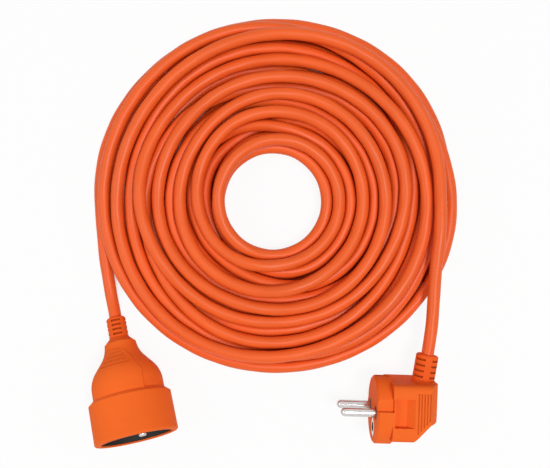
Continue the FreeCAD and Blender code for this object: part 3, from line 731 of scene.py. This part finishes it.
@dataclass
class SheathedCord:
    """The whole cord from strain relief to strain relief, with its coil."""

    diameter: float = 0.007
    length: float = 9.45
    coil: CoilSizes = field(default_factory=CoilSizes)
    socket_lead: tuple[Point, ...] = (
        (-0.092231, -0.069003, 0.006778),
        (-0.093687, -0.063412, 0.004822),
        (-0.095171, -0.0572, 0.0035),
        (-0.097171, -0.0464, 0.0035),
        (-0.099371, -0.0315, 0.0035),
        (-0.101071, -0.0186, 0.0035),
    )
    plug_lead: tuple[Point, ...] = (
        (0.096139, -0.0235, 0.026),
        (0.092439, -0.0445, 0.0216),
        (0.086546, -0.072545, 0.018007),
        (0.083802, -0.0878, 0.018064),
    )
    held_socket_points: int = 5
    held_plug_points: int = 2
    corner_cut: float = 0.25
    round_count: int = 16
    ring_spacing: float = 0.0029
    core_count: int = 3
    core_lift: float = 0.00007
    lay_length: float = 0.062
    spline_order: int = 3
    spline_steps: int = 5

    def wound_points(self) -> np.ndarray:
        """Lays out the coil as it was wound, with turns that differ in size and middle.

        Returns:
            The coil's points.
        """
        coil = self.coil
        period = coil.turns_per_layer + coil.climb_turns
        turns = period * coil.layers - coil.climb_turns
        turn = np.arange(round(turns * coil.points_per_turn) + 1) / coil.points_per_turn
        layer = np.minimum((turn // period).astype(int), coil.layers - 1)
        within = turn - layer * period
        share = np.clip(within / coil.turns_per_layer, 0, 1)
        wide = np.where(layer == 0, coil.start_radius, coil.outer_radius)
        start = np.where(layer % 2 == 0, wide, coil.inner_radius)
        end = np.where(layer % 2 == 0, coil.inner_radius, wide)
        climb = np.clip((within - coil.turns_per_layer) / coil.climb_turns, 0, 1)
        height = self.diameter / 2 + coil.layer_step * (layer + smooth_step(climb))
        fade = np.clip(np.minimum(turn, turns - turn) / coil.fade_turns, 0, 1)
        chance = np.random.default_rng(coil.seed)
        plain = start + (end - start) * share
        quarter_turn = coil.points_per_turn // 4
        radius = plain + fade * (self.eased(plain, quarter_turn) - plain)
        loose = fade * (radius / coil.outer_radius) ** coil.inner_evenness
        radius = radius + loose * self.wander(chance, turn, coil.uneven_radius)
        angle = math.pi - 2 * math.pi * turn
        return np.stack([
            radius * np.cos(angle) + loose * self.wander(chance, turn, coil.uneven_middle),
            radius * np.sin(angle) + loose * self.wander(chance, turn, coil.uneven_middle),
            height,
        ], axis=1)

    @staticmethod
    def eased(values: np.ndarray, width: int) -> np.ndarray:
        """Rounds the corners of a run of values over a number of points to each side."""
        weights = np.hanning(2 * width + 3)[1:-1]
        return np.convolve(np.pad(values, width, mode="edge"), weights / weights.sum(), mode="valid")

    def wander(self, chance: np.random.Generator, turn: np.ndarray, size: float) -> np.ndarray:
        """Gives a slow random drift along the coil.

        Args:
            chance: The seeded source of chance.
            turn: The turns wound up to each point.
            size: How large the drift is, in metres.

        Returns:
            The drift at each point.
        """
        per_turn = self.coil.knots_per_turn
        knots = chance.normal(0.0, size, int(turn[-1] * per_turn) + self.coil.spare_knots)
        place = turn * per_turn
        before = place.astype(int)
        share = smooth_step(place - before)
        return knots[before] * (1 - share) + knots[before + 1] * share

    def route(self) -> np.ndarray:
        """Finds the control points of the whole cord.

        A curve of order 3 cuts each corner of its control points by a share, so they are moved
        outwards by that share and the curve runs through the settled points.

        Returns:
            The control points, socket end first.
        """
        wound = np.vstack([np.array(self.socket_lead), self.wound_points(), np.array(self.plug_lead)])
        free = np.ones(len(wound), bool)
        free[:self.held_socket_points] = False
        free[-self.held_plug_points:] = False
        line = LoosePile(self.diameter).settled(wound, free)
        inner = slice(len(self.socket_lead), len(line) - len(self.plug_lead))
        corner = np.zeros_like(line)
        corner[1:-1] = line[1:-1] - (line[:-2] + line[2:]) / 2
        line[inner] += corner[inner] * self.corner_cut
        return line

    def spline(self) -> bpy.types.Object:
        """Makes the cord's line.

        Returns:
            A NURBS curve on the route's control points.
        """
        curve = bpy.data.curves.new("cord_line", "CURVE")
        curve.dimensions = "3D"
        curve.twist_mode = "Z_UP"
        spline = curve.splines.new("NURBS")
        route = self.route()
        spline.points.add(len(route) - 1)
        spline.points.foreach_set("co", np.column_stack([route, np.ones(len(route))]).ravel())
        spline.order_u = self.spline_order
        spline.use_endpoint_u = True
        spline.resolution_u = self.spline_steps
        line = bpy.data.objects.new("cord_line", curve)
        bpy.context.scene.collection.objects.link(line)
        return line

    def sheath_tree(self) -> bpy.types.NodeTree:
        """Builds the tree that sweeps the sheath along the line, lifted where the cores lie under it.

        Returns:
            The Geometry Nodes tree.
        """
        tree = bpy.data.node_groups.new("sheath_on_a_line", "GeometryNodeTree")
        bench = NodeBench(tree)
        face = tree.interface
        face.new_socket("Line", in_out="INPUT", socket_type="NodeSocketGeometry")
        for name, kind in (
            ("Radius", "NodeSocketFloat"),
            ("Ring spacing", "NodeSocketFloat"),
            ("Round count", "NodeSocketInt"),
            ("Core count", "NodeSocketFloat"),
            ("Core lift", "NodeSocketFloat"),
            ("Lay length", "NodeSocketFloat"),
            ("Finish", "NodeSocketMaterial"),
        ):
            face.new_socket(name, in_out="INPUT", socket_type=kind)
        face.new_socket("Sheath", in_out="OUTPUT", socket_type="NodeSocketGeometry")
        given = bench.node("NodeGroupInput").outputs
        result = bench.node("NodeGroupOutput").inputs

        rings = bench.node("GeometryNodeResampleCurve", mode="LENGTH")
        bench.join(given["Line"], rings.inputs["Curve"])
        bench.join(given["Ring spacing"], rings.inputs["Length"])
        run = self.kept(bench, rings.outputs["Curve"], "cord_run", "Length")
        profile = bench.node("GeometryNodeCurvePrimitiveCircle")
        bench.join(given["Round count"], profile.inputs["Resolution"])
        bench.join(given["Radius"], profile.inputs["Radius"])
        around = self.kept(bench, profile.outputs["Curve"], "cord_round", "Factor")
        sweep = bench.node("GeometryNodeCurveToMesh")
        sweep.inputs["Fill Caps"].default_value = True
        bench.join(run, sweep.inputs["Curve"])
        bench.join(around, sweep.inputs["Profile Curve"])

        along = bench.node("GeometryNodeInputNamedAttribute", data_type="FLOAT")
        along.inputs["Name"].default_value = "cord_run"
        turned = bench.node("GeometryNodeInputNamedAttribute", data_type="FLOAT")
        turned.inputs["Name"].default_value = "cord_round"
        angle = bench.maths("MULTIPLY", turned.outputs["Attribute"], 2 * math.pi)
        lay = bench.maths("DIVIDE", along.outputs["Attribute"], given["Lay length"])
        core_angle = bench.maths("SUBTRACT", angle, bench.maths("MULTIPLY", lay, 2 * math.pi))
        wave = bench.maths("COSINE", bench.maths("MULTIPLY", core_angle, given["Core count"]))
        lift = bench.node("ShaderNodeVectorMath", operation="SCALE")
        bench.join(bench.node("GeometryNodeInputNormal").outputs["Normal"], lift.inputs[0])
        bench.join(bench.maths("MULTIPLY", wave, given["Core lift"]), lift.inputs["Scale"])
        lifted = bench.node("GeometryNodeSetPosition")
        bench.join(sweep.outputs["Mesh"], lifted.inputs["Geometry"])
        bench.join(lift.outputs["Vector"], lifted.inputs["Offset"])

        place = bench.node("ShaderNodeCombineXYZ")
        radius = given["Radius"]
        bench.join(bench.maths("MULTIPLY", bench.maths("COSINE", angle), radius), place.inputs["X"])
        bench.join(bench.maths("MULTIPLY", bench.maths("SINE", angle), radius), place.inputs["Y"])
        bench.join(along.outputs["Attribute"], place.inputs["Z"])
        kept = bench.node("GeometryNodeStoreNamedAttribute", data_type="FLOAT_VECTOR", domain="POINT")
        kept.inputs["Name"].default_value = CORD_PLACE
        bench.join(lifted.outputs["Geometry"], kept.inputs["Geometry"])
        bench.join(place.outputs["Vector"], kept.inputs["Value"])
        smooth = bench.node("GeometryNodeSetShadeSmooth")
        bench.join(kept.outputs["Geometry"], smooth.inputs["Geometry"])
        real = bench.node("GeometryNodeRealizeInstances")
        bench.join(smooth.outputs["Geometry"], real.inputs["Geometry"])
        dressed = bench.node("GeometryNodeSetMaterial")
        bench.join(real.outputs["Geometry"], dressed.inputs["Geometry"])
        bench.join(given["Finish"], dressed.inputs["Material"])
        bench.join(dressed.outputs["Geometry"], result["Sheath"])
        return tree

    @staticmethod
    def kept(bench: NodeBench, curve: bpy.types.NodeSocket, name: str, measure: str) -> bpy.types.NodeSocket:
        """Stores each curve point's place along the curve under a name.

        Args:
            bench: The tree's bench.
            curve: The curve.
            name: The attribute's name.
            measure: Factor or Length.

        Returns:
            The curve with the attribute.
        """
        store = bench.node("GeometryNodeStoreNamedAttribute", data_type="FLOAT", domain="POINT")
        store.inputs["Name"].default_value = name
        bench.join(curve, store.inputs["Geometry"])
        bench.join(bench.node("GeometryNodeSplineParameter").outputs[measure], store.inputs["Value"])
        return store.outputs["Geometry"]

    def build(self, plug_pieces: list[bpy.types.Object]) -> bpy.types.Object:
        """Args:
            plug_pieces: The pieces on the cord's far end; not used.

        Returns:
            The cord's object.
        """
        line = self.spline()
        path = line_points(line)
        sizes = {
            "Radius": self.diameter / 2,
            "Ring spacing": self.ring_spacing,
            "Round count": self.round_count,
            "Core count": float(self.core_count),
            "Core lift": self.core_lift,
            "Lay length": self.lay_length,
            "Finish": SHEATH.material(),
        }
        sheath = grown("cord_sheath", line, self.sheath_tree(), sizes)
        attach(sheath, CORD_BODY)
        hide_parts("cord_coil", "cord_socket_lead", "cord_plug_lead")
        report(sheath)
        return sheath


def line_points(line: bpy.types.Object) -> list[Point]:
    """Reads the points of a curve.

    Args:
        line: The curve, which has no bevel.

    Returns:
        Its points in order.
    """
    bpy.context.view_layer.update()
    graph = bpy.context.evaluated_depsgraph_get()
    mesh = bpy.data.meshes.new_from_object(line.evaluated_get(graph))
    points = [tuple(vertex.co) for vertex in mesh.vertices]
    bpy.data.meshes.remove(mesh)
    return points


def grown(
    name: str, source: bpy.types.Object, tree: bpy.types.NodeTree, sizes: dict[str, object]
) -> bpy.types.Object:
    """Runs a Geometry Nodes tree on an object and keeps the result as a plain mesh.

    Args:
        name: The new piece's name.
        source: The object that the tree works on, which is removed afterwards.
        tree: The tree.
        sizes: The tree's inputs by name.

    Returns:
        The new piece.
    """
    modifier = source.modifiers.new(tree.name, "NODES")
    modifier.node_group = tree
    for socket in tree.interface.items_tree:
        if socket.in_out == "INPUT" and socket.name in sizes:
            modifier[socket.identifier] = sizes[socket.name]
    bpy.context.view_layer.update()
    graph = bpy.context.evaluated_depsgraph_get()
    evaluated = source.evaluated_get(graph)
    mesh = bpy.data.meshes.new_from_object(evaluated, preserve_all_data_layers=True, depsgraph=graph)
    mesh.name = name
    source.modifiers.remove(modifier)
    bpy.data.objects.remove(source)
    piece = bpy.data.objects.new(name, mesh)
    bpy.context.scene.collection.objects.link(piece)
    return piece


def report(piece: bpy.types.Object) -> None:
    """Logs a piece with its size and its materials."""
    faces = len(piece.data.polygons)
    log.info("%s: %d faces, %s", piece.name, faces, ", ".join(m.name for m in piece.data.materials if m))


@dataclass
class DressedParts:
    """A sub-assembly whose shapes come from the frame and whose finishes are given here."""

    finishes: dict[str, Finish]

    def nodes(self) -> list[bpy.types.Object]:
        """Gives the sub-assembly's frame objects."""
        return [frame["nodes"][name] for name in self.finishes]

    def dress(self) -> None:
        """Puts each node's finish on its material slots."""
        for name, finish in self.finishes.items():
            node = frame["nodes"][name]
            for slot in node.material_slots:
                slot.material = finish.material()
            report(node)


@dataclass
class TrailingSocket(DressedParts):
    """The socket on the cord's near end."""

    spring_node: str = "socket_shutter_spring"
    shutter_joint: str = "shutter_slide"
    weld_distance: float = 0.000005
    finishes: dict[str, Finish] = field(default_factory=lambda: {
        "socket_body": HOUSING,
        "socket_strain_relief": RELIEF,
        "socket_insert": BLACK,
        "socket_earth_pin": NICKEL,
        "socket_contact_carrier": BLACK,
        "socket_shutter": BLACK,
        "socket_line_contact": BRASS,
        "socket_neutral_contact": BRASS,
        "socket_sheath_end": RELIEF,
        "socket_line_core": BROWN,
        "socket_neutral_core": BLUE,
        "socket_earth_core": GREEN_YELLOW,
        "socket_conductors": COPPER,
    })

    def spring(self) -> bpy.types.Object:
        """Makes the shutter's spring as a welded copy of the frame's spring; its seat is found but the spring
        is not made to shorten.

        Returns:
            The spring's object.
        """
        mesh = frame["nodes"][self.spring_node].data.copy()
        shape = bmesh.new()
        shape.from_mesh(mesh)
        bmesh.ops.remove_doubles(shape, verts=shape.verts, dist=self.weld_distance)
        shape.to_mesh(mesh)
        shape.free()
        mesh.materials.clear()
        mesh.materials.append(SPRING.material())
        piece = bpy.data.objects.new("shutter_spring", mesh)
        bpy.context.scene.collection.objects.link(piece)
        joints = frame["record"]["behaviour"]["joints"]
        joint = next(joint for joint in joints if joint["name"] == self.shutter_joint)
        points = np.array([vertex.co for vertex in mesh.vertices])
        along = points @ np.array(joint["axis"])
        seat = tuple(float(value) for value in points[along.argmax()])
        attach(piece, CORD_BODY)
        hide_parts(self.spring_node)
        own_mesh(piece)
        report(piece)
        return piece


@dataclass
class RightAnglePlug(DressedParts):
    """The plug on the cord's far end."""

    finishes: dict[str, Finish] = field(default_factory=lambda: {
        "plug_body": HOUSING,
        "plug_strain_relief": RELIEF,
        "plug_bridge": BLACK,
        "plug_line_pin": NICKEL,
        "plug_neutral_pin": NICKEL,
        "plug_earth_strap": NICKEL,
        "plug_earth_sleeve": NICKEL,
        "plug_sheath_end": RELIEF,
        "plug_line_core": BROWN,
        "plug_neutral_core": BLUE,
        "plug_earth_core": GREEN_YELLOW,
        "plug_conductors": COPPER,
    })


# The studio


@dataclass(frozen=True)
class Softbox:
    """A square soft lamp that points at the coil."""

    name: str
    place: Point
    size: float
    power: float

    def hang(self) -> None:
        """Hangs the lamp in its place."""
        data = bpy.data.lights.new(self.name, "AREA")
        data.shape = "SQUARE"
        data.size = self.size
        data.energy = self.power
        lamp = bpy.data.objects.new(self.name, data)
        lamp.location = self.place
        lamp.rotation_euler = (-Vector(self.place)).to_track_quat("-Z", "Y").to_euler()
        bpy.context.scene.collection.objects.link(lamp)


@dataclass
class Studio:
    """A white table under soft light, and the camera straight above it."""

    camera_place: Point = CAMERA_PLACE
    focal_pixels: float = 740.0
    picture_width: int = 550
    sensor_width: float = 36.0
    clip: Span = (0.01, 20.0)
    floor_half: float = 6.0
    floor_grey: float = 0.90
    floor_glow: float = 0.90
    # Reach and open shares of the table's painted shade in narrow gaps.
    shade_reach: float = 0.012
    shade_open: Span = (0.05, 0.35)
    sky_strength: float = 0.37
    lamps: tuple[Softbox, ...] = (
        Softbox("key_softbox", (0.40, -0.20, 1.60), 0.45, 14.0),
        Softbox("fill_softbox", (-0.80, -0.10, 0.90), 0.50, 2.6),
    )

    def camera(self) -> None:
        """Places the camera where the photograph's was."""
        data = bpy.data.cameras.new("photo_camera")
        data.sensor_width = self.sensor_width
        data.lens = self.focal_pixels / self.picture_width * self.sensor_width
        data.clip_start, data.clip_end = self.clip
        camera = bpy.data.objects.new("photo_camera", data)
        camera.location = self.camera_place
        bpy.context.scene.collection.objects.link(camera)
        bpy.context.scene.camera = camera

    def floor(self) -> None:
        """Makes the table, which shows near white and keeps a soft shadow, with painted shade in narrow gaps.
        """
        half = self.floor_half
        mesh = bpy.data.meshes.new("table_top")
        corners = [(-half, -half, 0), (half, -half, 0), (half, half, 0), (-half, half, 0)]
        mesh.from_pydata(corners, [], [(0, 1, 2, 3)])
        top = bpy.data.objects.new("table_top", mesh)
        bpy.context.scene.collection.objects.link(top)
        bench = SurfaceBench("white_table")
        bench.tree.nodes.remove(bench.shader)
        output = next(node for node in bench.tree.nodes if node.type == "OUTPUT_MATERIAL")
        matt = bench.node("ShaderNodeBsdfDiffuse")
        matt.inputs["Color"].default_value = (self.floor_grey, self.floor_grey, self.floor_grey, 1)
        glow = bench.node("ShaderNodeEmission")
        mix = bench.node("ShaderNodeMixShader")
        shown = bench.maths("MULTIPLY", self.seen_rays(bench), self.floor_glow)
        # Painted shade: the glow fades in narrow gaps by ambient occlusion, so the floor's real shade shows
        # there.
        opened = bench.openness(self.shade_reach, *self.shade_open, own=False)
        bench.join(bench.maths("MULTIPLY", shown, opened), mix.inputs[0])
        bench.join(matt.outputs[0], mix.inputs[1])
        bench.join(glow.outputs[0], mix.inputs[2])
        bench.join(mix.outputs[0], output.inputs["Surface"])
        mesh.materials.append(bench.material)

    @staticmethod
    def seen_rays(bench: NodeBench) -> bpy.types.NodeSocket:
        """Tells the rays that are seen from those that only light the scene.

        Args:
            bench: The bench of the tree that asks.

        Returns:
            A value socket, 1 for camera, mirror and glass rays and 0 for light.
        """
        rays = bench.node("ShaderNodeLightPath").outputs
        both = bench.maths("MAXIMUM", rays["Is Camera Ray"], rays["Is Glossy Ray"])
        return bench.maths("MAXIMUM", both, rays["Is Transmission Ray"])

    def sky(self) -> None:
        """Lights the scene evenly from all round, and shows white behind the table."""
        world = bpy.data.worlds.new("studio_sky")
        world.use_nodes = True
        bpy.context.scene.world = world
        bench = NodeBench(world.node_tree)
        background = next(node for node in world.node_tree.nodes if node.type == "BACKGROUND")
        background.inputs["Color"].default_value = (1, 1, 1, 1)
        extra = bench.maths("MULTIPLY", self.seen_rays(bench), 1.0 - self.sky_strength)
        bench.join(bench.maths("ADD", extra, self.sky_strength), background.inputs["Strength"])

    def build(self) -> None:
        """Sets up the camera, the table and the light."""
        self.camera()
        self.floor()
        self.sky()
        for lamp in self.lamps:
            lamp.hang()
        bpy.context.scene.view_settings.view_transform = "Standard"


def main() -> None:
    """Builds the sub-assemblies in order and logs each piece's faces and materials."""
    logging.basicConfig(level=logging.INFO, format="%(name)s: %(message)s")
    Studio().build()
    socket = TrailingSocket()
    socket.dress()
    socket.spring()
    plug = RightAnglePlug()
    plug.dress()
    SheathedCord().build(plug.nodes())


if __name__ == "__main__":
    main()
